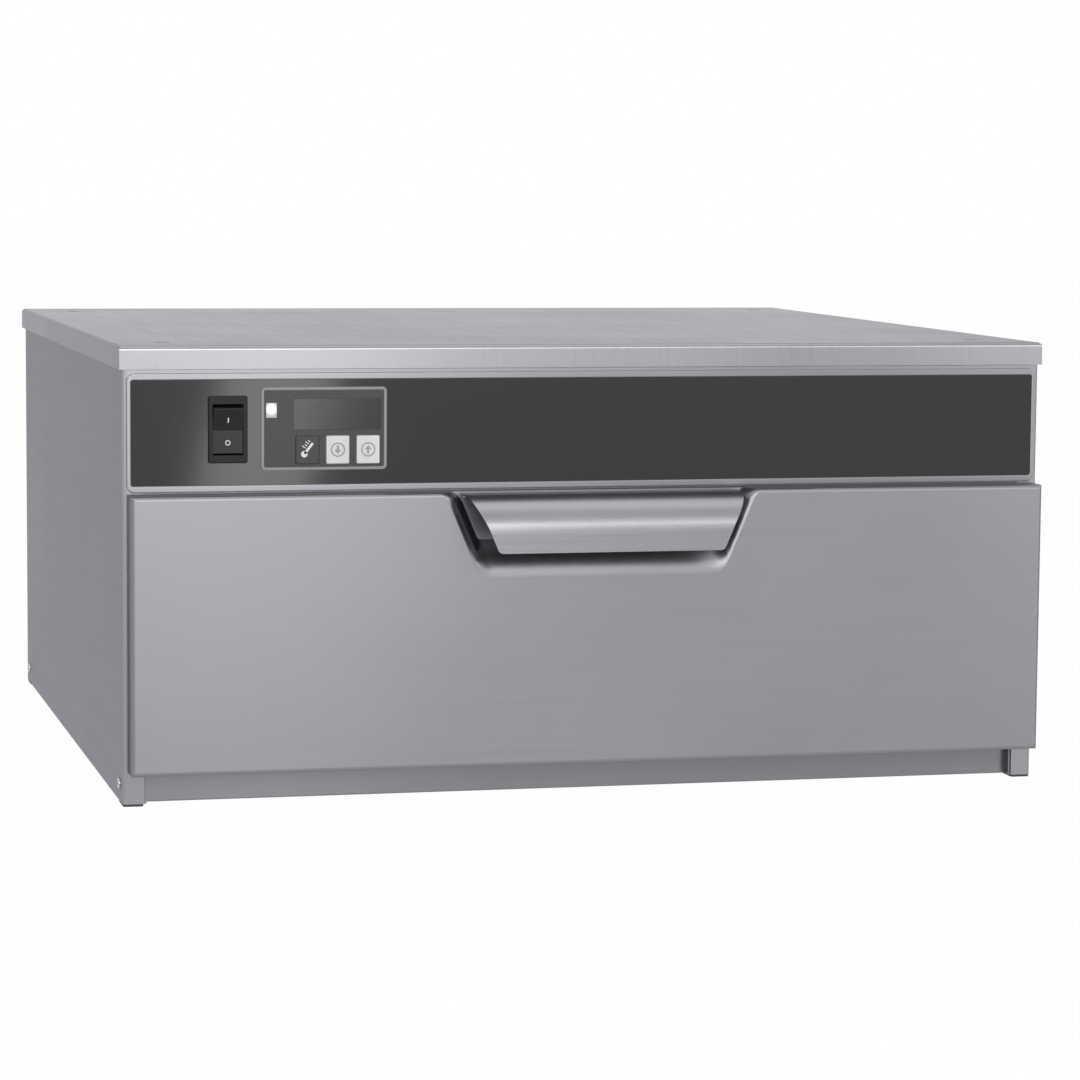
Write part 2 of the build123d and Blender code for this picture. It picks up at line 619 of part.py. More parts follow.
def control_panel_trim():
    """The bright moulding round the dark panel, with rounded outer corners."""
    outer = rounded(0, (PANEL_TOP + PANEL_BOTTOM - 1.9) / 2, 2 * FLAT_X,
                    PANEL_TOP - PANEL_BOTTOM - 2.5, TRIM_CORNER)
    trim = panel(outer - trim_window(0), (PANEL_FRONT - TRIM_THICKNESS, PANEL_FRONT))
    return fillet(front_edges(trim), TRIM_THICKNESS * 0.5)


def control_overlay():
    """The thin dark gloss sheet that fills the trim."""
    outline = trim_window(0.1) - rocker_hole(0.2) - keypad_hole()
    return panel(outline, (OVERLAY_FRONT, PANEL_FRONT))


def keypad_bezel():
    """The light frame round the display and keys."""
    outer = rounded(KEYPAD_X, KEYPAD_Z, KEYPAD_WIDTH, KEYPAD_HEIGHT, 3)
    inner = rounded(KEYPAD_X, KEYPAD_Z, KEYPAD_WIDTH - 2 * KEYPAD_FRAME, KEYPAD_HEIGHT - 2 * KEYPAD_FRAME, 1)
    frame = panel(outer - inner, (KEYPAD_FRONT - 0.4, OVERLAY_FRONT))
    return fillet(front_edges(frame), 0.35)


def keypad_overlay():
    """The dark sheet inside the frame, with windows for the keys, the display and the lamp."""
    inset = 2 * KEYPAD_FRAME + 0.2
    outline = rounded(KEYPAD_X, KEYPAD_Z, KEYPAD_WIDTH - inset, KEYPAD_HEIGHT - inset, 0.9)
    for x in KEY_XS:
        outline -= rounded(x, KEY_Z, KEY_WIDTH + 2 * KEY_PLAY, KEY_HEIGHT + 2 * KEY_PLAY, 1.2)
    outline -= rounded(DISPLAY_X, DISPLAY_Z, DISPLAY_WIDTH + 0.2, DISPLAY_HEIGHT + 0.2, 0.5)
    outline -= rounded(LAMP_X, LAMP_Z, LAMP_WIDTH + 0.2, LAMP_HEIGHT + 0.2, 0.5)
    return panel(outline, (KEYPAD_FRONT, OVERLAY_FRONT))


def display_lens():
    outline = rounded(DISPLAY_X, DISPLAY_Z, DISPLAY_WIDTH, DISPLAY_HEIGHT, 0.4)
    return panel(outline, (KEYPAD_FRONT, OVERLAY_FRONT))


def heat_indicator():
    """The lamp's white lens, standing a little proud, and its light pipe back to the board."""
    lens = panel(rounded(LAMP_X, LAMP_Z, LAMP_WIDTH, LAMP_HEIGHT, 0.4), (KEYPAD_FRONT - 0.3, OVERLAY_FRONT))
    lens = fillet(front_edges(lens), 0.25)
    return lens + rod(2.2, (LAMP_X, OVERLAY_FRONT, LAMP_Z), (0, 1, 0), BOARD_FRONT - OVERLAY_FRONT)


def display_module():
    """The three-digit display block, from the lens back to the board."""
    outline = Pos(DISPLAY_X, DISPLAY_Z) * Rectangle(DISPLAY_WIDTH - 3, DISPLAY_HEIGHT - 2)
    return panel(outline, (OVERLAY_FRONT, BOARD_FRONT))


def spacer_places():
    x = KEYPAD_WIDTH / 2 + 1.6
    z = KEYPAD_HEIGHT / 2 + 0.2
    return [(KEYPAD_X + s * x, KEYPAD_Z + t * z) for s in (-1, 1) for t in (-1, 1)]


def control_board():
    """The circuit board behind the keys, drilled for its four screws."""
    width = KEYPAD_WIDTH + 2 * BOARD_MARGIN
    height = KEYPAD_HEIGHT + 2 * (BOARD_MARGIN - BOARD_TRIM)
    outline = rounded(KEYPAD_X, KEYPAD_Z, width, height, 2)
    for x, z in spacer_places():
        outline -= Pos(x, z) * Circle(SPACER_BORE)
    return panel(outline, (BOARD_FRONT, BOARD_FRONT + BOARD_SHEET))


def board_spacers():
    ring = Circle(SPACER_RADIUS) - Circle(SPACER_BORE)
    return Compound([panel(Pos(x, z) * ring, (FRONT_SETBACK, BOARD_FRONT)) for x, z in spacer_places()])


def board_screws():
    """The four small screws that hold the board to its spacers."""
    back = BOARD_FRONT + BOARD_SHEET
    screws = []
    for x, z in spacer_places():
        head = fillet(rod(2.6, (x, back, z), (0, 1, 0), 1.6).faces().sort_by(Axis.Y)[-1].edges(), 0.8)
        screws.append(head + rod(SPACER_BORE - 0.1, (x, back, z), (0, -1, 0), BOARD_DEPTH - 1))
    return Compound(screws)


def tactile_switches():
    """Three small push switches on the board, one behind each key."""
    switches = []
    for x in KEY_XS:
        body = panel(rounded(x, KEY_Z, 6, 6, 0.5), (BOARD_FRONT - 3, BOARD_FRONT))
        switches.append(body + rod(1.7, (x, BOARD_FRONT - 3, KEY_Z), (0, -1, 0), 0.8))
    return Compound(switches)


def key(x):
    """One key: a cap through the overlay, a flange that keeps it in, and a stem towards its switch."""
    cap = panel(rounded(x, KEY_Z, KEY_WIDTH, KEY_HEIGHT, 1), (KEYPAD_FRONT - 0.6, OVERLAY_FRONT + 0.1))
    cap = fillet(front_edges(cap), 0.4)
    flange_outline = rounded(x, KEY_Z, KEY_WIDTH + 2 * KEY_FLANGE, KEY_HEIGHT + 2 * KEY_FLANGE, 1)
    flange = panel(flange_outline, (OVERLAY_FRONT + 0.1, OVERLAY_FRONT + 1.1))
    stem_end = BOARD_FRONT - 3.8 - KEY_TRAVEL - 0.1
    return cap + flange + rod(2, (x, OVERLAY_FRONT + 1.1, KEY_Z), (0, 1, 0), stem_end - OVERLAY_FRONT - 1.1)


def rocker_switch_housing():
    """The switch's black body and bezel, open at the front for the rocker and bored for its pins."""
    bezel = panel(rounded(ROCKER_X, ROCKER_Z, ROCKER_BEZEL_WIDTH, ROCKER_BEZEL_HEIGHT, 1.5),
                  (OVERLAY_FRONT - 1.8, OVERLAY_FRONT))
    bezel = fillet(front_edges(bezel), 0.8)
    housing = bezel + panel(rocker_hole(0), (OVERLAY_FRONT, ROCKER_BODY_DEPTH))
    well = Rectangle(ROCKER_WIDTH + 2 * ROCKER_PLAY, 2 * (ROCKER_RADIUS + ROCKER_PLAY))
    well = Pos(ROCKER_X, ROCKER_Z) * well
    housing -= panel(well, (OVERLAY_FRONT - 2, ROCKER_BODY_DEPTH - 8))
    start = (ROCKER_X - ROCKER_BODY_WIDTH / 2, ROCKER_AXIS_DEPTH, ROCKER_Z)
    housing -= rod(ROCKER_PIN_RADIUS + ROCKER_PIN_PLAY, start, (1, 0, 0), ROCKER_BODY_WIDTH)
    for z in (-9, 0, 9):
        housing += block((ROCKER_X - 3, ROCKER_X + 3), (ROCKER_BODY_DEPTH, ROCKER_BODY_DEPTH + 8),
                         (ROCKER_Z + z - 0.4, ROCKER_Z + z + 0.4))
    return housing


def power_rocker():
    """The rocker, a shallow V with round ends about its pins. It rests tipped, its lower half pressed in."""
    depth = ROCKER_AXIS_DEPTH
    rise = ROCKER_RADIUS * math.tan(math.radians(ROCKER_TILT))
    reach = ROCKER_RADIUS * 1.2
    v_front = Polyline((depth + 3, -reach), (-rise * 1.2, -reach), (0, 0), (-rise * 1.2, reach),
                       (depth + 3, reach), close=True)
    profile = make_face(v_front) & Pos(depth, 0) * Circle(ROCKER_RADIUS)
    half = ROCKER_WIDTH / 2
    rocker = bar(profile, (-half, half))
    rocker = fillet(rocker.edges().filter_by(Axis.X).group_by(Axis.Y)[0], 0.6)
    pin = half + ROCKER_PLAY + 1
    rocker += rod(ROCKER_PIN_RADIUS, (-pin, depth, 0), (1, 0, 0), 2 * pin)
    tipped = Pos(ROCKER_X, depth, ROCKER_Z) * Rot(ROCKER_TILT, 0, 0) * Pos(0, -depth, 0)
    return tipped * rocker


# ---- drawer front

def notch_outline(flare, bottom_z):
    """The notch in the drawer front: a wide mouth with round shoulders that narrows to a rounded floor at
    bottom_z. flare widens it by that much and softens its corners with it."""
    over = 20.0
    slope = (NOTCH_TOP_HALF - NOTCH_BOTTOM_HALF) / NOTCH_HEIGHT
    top_z = DRAWER_TOP - flare * 0.3
    side = flare * math.hypot(1, slope)
    top_x = NOTCH_TOP_HALF + side + slope * (top_z - DRAWER_TOP)
    bottom_x = NOTCH_BOTTOM_HALF + side + slope * (bottom_z - NOTCH_BOTTOM)
    wide = NOTCH_TOP_HALF + 4 * NOTCH_SHOULDER
    path = FilletPolyline((-wide, top_z + over), (-wide, top_z), (-top_x, top_z), (-bottom_x, bottom_z),
                          (bottom_x, bottom_z), (top_x, top_z), (wide, top_z), (wide, top_z + over),
                          radius=[0, NOTCH_SHOULDER - flare, NOTCH_CORNER + flare, NOTCH_CORNER + flare,
                                  NOTCH_SHOULDER - flare, 0])
    return Pos(POCKET_X, 0) * make_face([*path.edges(), Line((wide, top_z + over), (-wide, top_z + over))])


def pocket_space(grow):
    """What the press pushes back for the fingers. Its wall leaves the face without an edge, gets steeper
    like a dish and ends on the pocket's flat back, and its floor is a longer slope than its sides."""
    sections = []
    for share in (1.0, 0.8, 0.6, 0.4, 0.2, 0.0):
        depth = POCKET_DEPTH * share ** 2
        plane = Plane((0, depth - FACE_PROUD + grow, 0), x_dir=(1, 0, 0), z_dir=(0, -1, 0))
        flare = POCKET_MOUTH - POCKET_SLOPE * share + grow
        sections.append(plane * notch_outline(flare, NOTCH_BOTTOM + POCKET_RISE * share - grow))
    return loft(sections)


def front_block(inset, back):
    x = DRAWER_X - inset
    return block((-x, x), (inset - FACE_PROUD, back), (DRAWER_BOTTOM + inset, DRAWER_TOP - inset))


def drawer_front_skin():
    """The pressed outer skin: a face with rolled edges, folded sides and the handle's pocket drawn in."""
    outside = fillet(front_edges(front_block(0, DRAWER_BACK)), FACE_BEND) - pocket_space(0)
    inside = fillet(front_edges(front_block(SHEET, DRAWER_BACK + 5)), FACE_BEND - SHEET) - pocket_space(SHEET)
    return outside - inside


def drawer_front_inner():
    """The flat sheet that closes the back of the drawer front."""
    x = DRAWER_X - SHEET - 0.1
    z = (DRAWER_BOTTOM + SHEET + 0.1, DRAWER_TOP - SHEET - 0.1)
    plate = block((-x, x), (DRAWER_BACK - SHEET, DRAWER_BACK), z)
    for x_screw, z_screw in drawer_screw_places():
        start = (x_screw, DRAWER_BACK + 1, z_screw)
        plate -= rod(SCREW_RADIUS + SCREW_PLAY, start, (0, -1, 0), 2 * SHEET)
    return plate


def drawer_front_insulation():
    """The slab of mineral wool inside the drawer front, below the handle's pocket."""
    x = DRAWER_X - SHEET - 2
    z = (DRAWER_BOTTOM + 2 * SHEET, NOTCH_BOTTOM - 3 * SHEET)
    return block((-x, x), (SHEET + SEAT - FACE_PROUD, DRAWER_BACK - SHEET - SEAT), z)


def drawer_gasket():
    """The seal round the back of the drawer front, which meets the face frame."""
    low = CAVITY_FLOOR + 1 - GASKET_BAND
    high = CAVITY_ROOF + GASKET_BAND - 1
    width = 2 * (CAVITY_X + GASKET_BAND + 1)
    middle = Pos(0, (low + high) / 2)
    outer = middle * RectangleRounded(width, high - low, 6)
    inner = middle * RectangleRounded(width - 2 * GASKET_BAND, high - low - 2 * GASKET_BAND, 2)
    ring = panel(outer - inner, (DRAWER_BACK, DRAWER_BACK + GASKET_THICKNESS))
    return fillet(ring.faces().sort_by(Axis.Y)[-1].edges(), 0.5)


def drawer_handle():
    """The pull, one folded sheet: a flange welded in the pocket, a level top, a long round and a lip."""
    y_back = POCKET_Y - HANDLE_SHEET / 2
    y_lip = LIP_Y + HANDLE_SHEET / 2
    top = DRAWER_TOP - HANDLE_TOP_GAP
    shoulder = DRAWER_TOP - HANDLE_SHOULDER_DROP
    middle = top - HANDLE_SHEET / 2
    path = FilletPolyline((y_back, top - HANDLE_WELD), (y_back, middle), (y_lip, middle),
                          (y_lip, HANDLE_LIP_BOTTOM), radius=[HANDLE_FOLD, HANDLE_SWEEP])
    wide = 2 * HANDLE_TOP_HALF
    sheet = bar(trace(path, HANDLE_SHEET), (-wide, wide))
    hem_y = (LIP_Y + HANDLE_SHEET, LIP_Y + HANDLE_SHEET + HEM_SHEET)
    sheet += block((-wide, wide), hem_y, (HANDLE_LIP_BOTTOM, HANDLE_LIP_BOTTOM + HEM_HEIGHT))
    path = FilletPolyline((-HANDLE_TOP_HALF, top), (-HANDLE_HALF, shoulder),
                          (-HANDLE_LIP_HALF, HANDLE_LIP_BOTTOM), (HANDLE_LIP_HALF, HANDLE_LIP_BOTTOM),
                          (HANDLE_HALF, shoulder), (HANDLE_TOP_HALF, top),
                          radius=[HANDLE_CORNER, HANDLE_CORNER, HANDLE_CORNER, HANDLE_CORNER])
    blank = make_face([*path.edges(), Line((HANDLE_TOP_HALF, top), (-HANDLE_TOP_HALF, top))])
    return Pos(POCKET_X, 0, 0) * (sheet & panel(blank, (LIP_Y - 5, y_back + 5)))


# ---- slides, drawer frame and pan

def rail(web, mouth, half, lip):
    """A right-hand rail: a channel bent from strip. web and mouth are the middles of its web and of its lips,
    counted inwards from the cavity's wall, and half is half its outside height."""
    h = half - SLIDE_SHEET / 2
    inward = 1 if mouth > web else -1
    points = [(mouth, h - lip), (mouth, h), (web, h), (web, -h), (mouth, -h), (mouth, lip - h)]
    path = FilletPolyline(*[(CAVITY_X - s, SLIDE_Z + z) for s, z in points], radius=[0.9, 1.8, 1.8, 0.9])
    depth = (SLIDE_FRONT, SLIDE_FRONT + SLIDE_LENGTH)
    channel = panel(trace(path, SLIDE_SHEET), depth)
    for y in (depth[0] + 40, depth[1] - 40):
        x = CAVITY_X - web - inward * SLIDE_SHEET
        channel -= rod(2.6, (x, y, SLIDE_Z), (inward, 0, 0), 3 * SLIDE_SHEET)
    return channel


BALL_TRACK = 2 * (BALL_RADIUS + BALL_PLAY)
MIDDLE_RAIL_HALF = OUTER_RAIL_HALF - SLIDE_SHEET - BALL_TRACK
INNER_RAIL_HALF = MIDDLE_RAIL_HALF - SLIDE_SHEET - BALL_TRACK
OUTER_BALL_Z = MIDDLE_RAIL_HALF + BALL_TRACK / 2
INNER_BALL_Z = INNER_RAIL_HALF + BALL_TRACK / 2


def outer_rail():
    return rail(SLIDE_SHEET / 2, SLIDE_THICKNESS - 2.3, OUTER_RAIL_HALF, 2.2)


def middle_rail():
    return rail(SLIDE_SHEET / 2 + 2, SLIDE_THICKNESS - 2.1, MIDDLE_RAIL_HALF, 2.2)


def inner_rail():
    return rail(SLIDE_THICKNESS - SLIDE_SHEET / 2, 4.6, INNER_RAIL_HALF, 2.0)


def ball_cage(ball_z):
    """A right-hand pair of drilled strips, above and below, with their loose steel balls."""
    x = CAVITY_X - SLIDE_THICKNESS / 2 - 0.4
    start = SLIDE_FRONT + TRAVEL / 4 + 4
    gap = CAGE_LENGTH / CAGE_BALLS
    pieces = []
    for z in (SLIDE_Z - ball_z, SLIDE_Z + ball_z):
        strip = block((x - CAGE_WIDTH / 2, x + CAGE_WIDTH / 2), (start, start + CAGE_LENGTH),
                      (z - CAGE_SHEET / 2, z + CAGE_SHEET / 2))
        for i in range(CAGE_BALLS):
            y = start + (i + 0.5) * gap
            strip -= rod(BALL_RADIUS + SCREW_PLAY, (x, y, z - CAGE_SHEET), (0, 0, 1), 2 * CAGE_SHEET)
            pieces.append(Pos(x, y, z) * Sphere(BALL_RADIUS))
        pieces.append(strip)
    return Compound(pieces)


def drawer_screw_places():
    z = FRAME_BOTTOM + DRAWER_SCREW_RISE
    return [(s * x, z) for s in (-1, 1) for x in (DRAWER_SCREW_X, FRAME_X - DRAWER_SCREW_INSET)]


def drawer_frame():
    """The hanging frame behind the drawer front: four walls with a ledge round the top for the pan's rim."""
    outer = block((-FRAME_X, FRAME_X), (DRAWER_BACK, FRAME_BACK), (FRAME_BOTTOM, FRAME_TOP))
    x = FRAME_X - SLIDE_SHEET
    inner = block((-x, x), (DRAWER_BACK + SLIDE_SHEET, FRAME_BACK - SLIDE_SHEET),
                  (FRAME_BOTTOM - 1, FRAME_TOP - SLIDE_SHEET))
    x -= FRAME_LEDGE
    opening = block((-x, x), (LEDGE_FRONT, LEDGE_BACK), (FRAME_BOTTOM, FRAME_TOP + 1))
    frame = outer - inner - opening
    for x_screw, z_screw in drawer_screw_places():
        start = (x_screw, DRAWER_BACK - 1, z_screw)
        frame -= rod(SCREW_RADIUS + SCREW_PLAY, start, (0, 1, 0), 3 * SLIDE_SHEET)
    return frame


def food_pan():
    """The lift-out steel pan: tapered walls, round corners and a rim that rests on the frame's ledge."""
    half = FRAME_X - SLIDE_SHEET - FRAME_LEDGE - PAN_PLAY
    depth = (LEDGE_BACK - LEDGE_FRONT) / 2 - PAN_PLAY
    y = (LEDGE_FRONT + LEDGE_BACK) / 2
    top = PAN_RIM_TOP

    def tub(inset, low):
        small = inset + PAN_TAPER
        upper = RectangleRounded(2 * (half - inset), 2 * (depth - inset), PAN_CORNER - inset)
        lower = RectangleRounded(2 * (half - small), 2 * (depth - small), PAN_CORNER - small)
        body = loft([Plane((0, y, low)) * lower, Plane((0, y, top)) * upper], ruled=True)
        return fillet(body.faces().sort_by(Axis.Z)[0].edges(), PAN_FLOOR_ROUND - inset)

    rim = RectangleRounded(2 * (half + PAN_RIM), 2 * (depth + PAN_RIM), PAN_CORNER + PAN_RIM)
    edge = RectangleRounded(2 * (half + PAN_RIM - PAN_SHEET), 2 * (depth + PAN_RIM - PAN_SHEET),
                            PAN_CORNER + PAN_RIM - PAN_SHEET)
    flange = post(Pos(0, y) * rim, (top - PAN_SHEET, top))
    lip = post(Pos(0, y) * (rim - edge), (FRAME_TOP, top))
    pan = tub(0, top - PAN_DEPTH) + flange + lip
    return pan - tub(PAN_SHEET, top - PAN_DEPTH + PAN_SHEET)


# ---- screws

def cover_screws():
    """The four countersunk screws in the cover."""
    screws = []
    for x, y in cover_screw_places():
        head = Pos(x, y, HEIGHT - SHEET / 2 - 0.15) * Cone(SCREW_RADIUS, 4.4, SHEET - 0.3)
        shank = rod(SCREW_RADIUS, (x, y, HEIGHT - SHEET), (0, 0, -1), 9)
        slot = Rectangle(0.9, 4.4) + Rectangle(4.4, 0.9)
        screws.append(head + shank - extrude(Plane((x, y, HEIGHT - 0.8)) * slot, 1))
    return Compound(screws)


def case_screws():
    """The pan-head screws in the two sides and round the back panel."""
    screws = [pan_head((s * CASE_X, y, z), (s, 0, 0), 7) for s in (-1, 1) for y, z in side_screw_places()]
    screws += [pan_head((x, CASE_BACK, z), (0, 1, 0), 5) for x, z in back_screw_places()]
    return Compound(screws)


def drawer_screws():
    """The four screws that hold the drawer front to its frame."""
    y = DRAWER_BACK + SLIDE_SHEET
    return Compound([pan_head((x, y, z), (0, 1, 0), 2 * SHEET) for x, z in drawer_screw_places()])


def build():
    """Every piece by its name."""
    right_side = right_side_panel()
    right_middle = middle_rail()
    outer_cage = ball_cage(OUTER_BALL_Z)
    inner_cage = ball_cage(INNER_BALL_Z)
    return {
        "top_cover": top_cover(),
        "right_side_panel": right_side,
        "left_side_panel": mirror(right_side, Plane.YZ),
        "back_panel": back_panel(),
        "bottom_panel": bottom_panel(),
        "front_rail": front_rail(),
        "face_frame": face_frame(),
        "top_rail": top_rail(),
        "corner_feet": corner_feet(),
        "liner_floor": liner_floor(),
        "liner_roof": liner_roof(),
        "liner_side_walls": liner_side_walls(),
        "liner_back_wall": liner_back_wall(),
        "heating_cable": heating_cable(),
        "insulation_pads": insulation_pads(),
        "temperature_probe": temperature_probe(),
        "high_limit_thermostat": high_limit_thermostat(),
        "electronics_tray": electronics_tray(),
        "power_relay": power_relay(),
        "terminal_block": terminal_block(),
        "cable_gland": cable_gland(),
        "fascia_plate": fascia_plate(),
        "control_panel_trim": control_panel_trim(),
        "control_overlay": control_overlay(),
        "keypad_bezel": keypad_bezel(),
        "keypad_overlay": keypad_overlay(),
        "display_lens": display_lens(),
        "display_module": display_module(),
        "heat_indicator": heat_indicator(),
        "control_board": control_board(),
        "board_spacers": board_spacers(),
        "board_screws": board_screws(),
        "tactile_switches": tactile_switches(),
        "temperature_key": key(KEY_XS[0]),
        "down_key": key(KEY_XS[1]),
        "up_key": key(KEY_XS[2]),
        "rocker_switch_housing": rocker_switch_housing(),
        "power_rocker": power_rocker(),
        "drawer_front_skin": drawer_front_skin(),
        "drawer_front_inner": drawer_front_inner(),
        "drawer_front_insulation": drawer_front_insulation(),
        "drawer_gasket": drawer_gasket(),
        "drawer_handle": drawer_handle(),
        "outer_rails": both_sides(outer_rail()),
        "right_middle_rail": right_middle,
        "left_middle_rail": mirror(right_middle, Plane.YZ),
        "inner_rails": both_sides(inner_rail()),
        "right_outer_ball_cage": outer_cage,
        "left_outer_ball_cage": mirror(outer_cage, Plane.YZ),
        "right_inner_ball_cage": inner_cage,
        "left_inner_ball_cage": mirror(inner_cage, Plane.YZ),
        "drawer_frame": drawer_frame(),
        "food_pan": food_pan(),
        "cover_screws": cover_screws(),
        "case_screws": case_screws(),
        "drawer_screws": drawer_screws(),
    }


os.makedirs("parts", exist_ok=True)
for name, piece in build().items():
    export_step(Pos(0, -Y_MIDDLE, 0) * piece, f"parts/{name}.step")
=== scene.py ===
import bmesh
import bpy
import json
import math
from mathutils import Matrix, Vector


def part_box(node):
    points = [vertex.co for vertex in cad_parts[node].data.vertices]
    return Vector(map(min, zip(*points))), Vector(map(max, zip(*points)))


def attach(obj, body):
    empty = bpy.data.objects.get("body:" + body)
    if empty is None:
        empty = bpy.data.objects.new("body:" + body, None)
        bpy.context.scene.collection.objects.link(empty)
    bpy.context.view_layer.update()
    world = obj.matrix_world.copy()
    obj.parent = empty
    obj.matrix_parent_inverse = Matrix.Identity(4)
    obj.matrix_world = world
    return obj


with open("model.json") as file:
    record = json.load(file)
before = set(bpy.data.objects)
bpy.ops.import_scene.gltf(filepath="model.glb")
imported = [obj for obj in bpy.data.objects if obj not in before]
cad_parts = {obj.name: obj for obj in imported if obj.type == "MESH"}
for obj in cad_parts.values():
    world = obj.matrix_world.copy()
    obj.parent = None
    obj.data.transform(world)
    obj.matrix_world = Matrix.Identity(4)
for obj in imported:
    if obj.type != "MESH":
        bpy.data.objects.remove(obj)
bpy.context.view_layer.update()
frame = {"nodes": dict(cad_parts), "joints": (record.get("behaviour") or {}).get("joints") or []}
nodes = frame["nodes"]


# Camera. A long lens a little left of the middle and above the lid, level to within half a degree, so that the
# front is seen nearly square on with the left side falling away behind it.
camera_data = bpy.data.cameras.new("camera")
camera_data.sensor_width = 36.0
camera_data.lens = 122.0
camera = bpy.data.objects.new("camera", camera_data)
bpy.context.scene.collection.objects.link(camera)
bpy.context.scene.camera = camera
yaw, pitch, roll = 0.2419, 0.1018, -0.0079
ahead = Vector((math.sin(yaw) * math.cos(pitch), math.cos(yaw) * math.cos(pitch), -math.sin(pitch)))
level_right = Vector((math.cos(yaw), -math.sin(yaw), 0.0))
level_up = level_right.cross(ahead)
camera_right = level_right * math.cos(roll) - level_up * math.sin(roll)
camera_up = level_up * math.cos(roll) + level_right * math.sin(roll)
camera_place = Matrix.Translation((-0.60798, -2.5973, 0.41218))
camera.matrix_world = camera_place @ Matrix((camera_right, camera_up, -ahead)).transposed().to_4x4()


# Studio. A pale floor and a white surround that metal mirrors, with soft boxes: a wide one behind the camera
# that ends right of the middle, one far right, one overhead, and two small ones whose mirror images make the
# highlights on the handle and in the dark panel.
def seen_share(tree, low, high):
    """high where the camera sees a thing straight, mirrored or through glass, and low for all other light."""
    ray = tree.nodes.new("ShaderNodeLightPath")
    seen = tree.nodes.new("ShaderNodeMath")
    seen.operation = "MAXIMUM"
    tree.links.new(ray.outputs["Is Camera Ray"], seen.inputs[0])
    tree.links.new(ray.outputs["Is Glossy Ray"], seen.inputs[1])
    seen_through = tree.nodes.new("ShaderNodeMath")
    seen_through.operation = "MAXIMUM"
    tree.links.new(seen.outputs[0], seen_through.inputs[0])
    tree.links.new(ray.outputs["Is Transmission Ray"], seen_through.inputs[1])
    level = tree.nodes.new("ShaderNodeMapRange")
    level.inputs["To Min"].default_value = low
    level.inputs["To Max"].default_value = high
    tree.links.new(seen_through.outputs[0], level.inputs["Value"])
    return level.outputs["Result"]


world = bpy.data.worlds.new("surround")
bpy.context.scene.world = world
world.use_nodes = True
tree = world.node_tree
surround = tree.nodes["Background"]
surround.inputs["Color"].default_value = (1.0, 1.0, 1.0, 1.0)
tree.links.new(seen_share(tree, 0.5, 1.0), surround.inputs["Strength"])


def soft_box(name, at, towards, width, height, brightness, lean=0.0):
    """A soft box whose face has this brightness, where the surround has 1. lean turns it about its own axis."""
    light = bpy.data.lights.new(name, "AREA")
    light.shape = "RECTANGLE"
    light.size = width
    light.size_y = height
    light.energy = brightness * math.pi * width * height
    lamp = bpy.data.objects.new(name, light)
    bpy.context.scene.collection.objects.link(lamp)
    aim = (Vector(towards) - Vector(at)).to_track_quat("-Z", "Y")
    lamp.matrix_world = Matrix.Translation(at) @ aim.to_matrix().to_4x4() @ Matrix.Rotation(lean, 4, "Z")
    lamp.visible_camera = False


soft_box("front_soft_box", (-0.75, -3.1, 1.18), (-0.75, 0.0, 1.16), 2.5, 1.9, brightness=3.0)
soft_box("right_soft_box", (1.9, -2.6, 0.95), (0.2, 0.0, 0.5), 0.9, 1.6, brightness=3.4)
soft_box("top_soft_box", (0.0, 0.0, 2.6), (0.0, 0.0, 0.0), 2.2, 2.2, brightness=0.7)
soft_box("handle_light", (0.8, -3.0, 1.35), (0.0, 0.0, 0.25), 1.2, 0.5, brightness=2.6)
soft_box("panel_strip", (-0.008, -1.5, 0.165), (-0.008, 0.0, 0.165), 0.11, 0.19, brightness=3.4, lean=-0.25)

bpy.ops.mesh.primitive_plane_add(size=30.0, location=(0.0, 0.0, 0.0))
floor = bpy.context.object
floor.name = "floor"
floor_paper = bpy.data.materials.new("floor_paper")
floor_paper.use_nodes = True
tree = floor_paper.node_tree
paper = tree.nodes["Principled BSDF"]
paper.inputs["Base Color"].default_value = (0.96, 0.96, 0.96, 1.0)
paper.inputs["Roughness"].default_value = 0.9
paper.inputs["Specular IOR Level"].default_value = 0.1
glow = tree.nodes.new("ShaderNodeEmission")
glow.inputs["Strength"].default_value = 1.0
blend = tree.nodes.new("ShaderNodeMixShader")
tree.links.new(seen_share(tree, 0.0, 0.99), blend.inputs["Fac"])
tree.links.new(paper.outputs["BSDF"], blend.inputs[1])
tree.links.new(glow.outputs["Emission"], blend.inputs[2])
tree.links.new(blend.outputs["Shader"], tree.nodes["Material Output"].inputs["Surface"])
floor.data.materials.append(floor_paper)


# Case. Stainless sheet, brushed along each panel's length, then folded and screwed. The lid is a separate
# folded pan over the top, its brush lines running front to back as the sides' do.
def node_chain(mat):
    """The material's shader, and short ways to add a node and a link."""
    mat.use_nodes = True
    return mat.node_tree.nodes["Principled BSDF"], mat.node_tree.nodes.new, mat.node_tree.links.new


def stretched_noise(make, join, scale, detail):
    """Noise in the object's own metres, with so many waves to the metre along each axis."""
    place = make("ShaderNodeTexCoord")
    stretch = make("ShaderNodeMapping")
    stretch.inputs["Scale"].default_value = scale
    noise = make("ShaderNodeTexNoise")
    noise.inputs["Scale"].default_value = 1.0
    noise.inputs["Detail"].default_value = detail
    join(place.outputs["Object"], stretch.inputs["Vector"])
    join(stretch.outputs["Vector"], noise.inputs["Vector"])
    return noise.outputs["Fac"]


def remap(make, join, value, low, high, from_low=0.3, from_high=0.7):
    """The value stretched to run from low to high. Noise lies for the most part between 0.3 and 0.7."""
    node = make("ShaderNodeMapRange")
    node.inputs["From Min"].default_value = from_low
    node.inputs["From Max"].default_value = from_high
    node.inputs["To Min"].default_value = low
    node.inputs["To Max"].default_value = high
    join(value, node.inputs["Value"])
    return node.outputs["Result"]


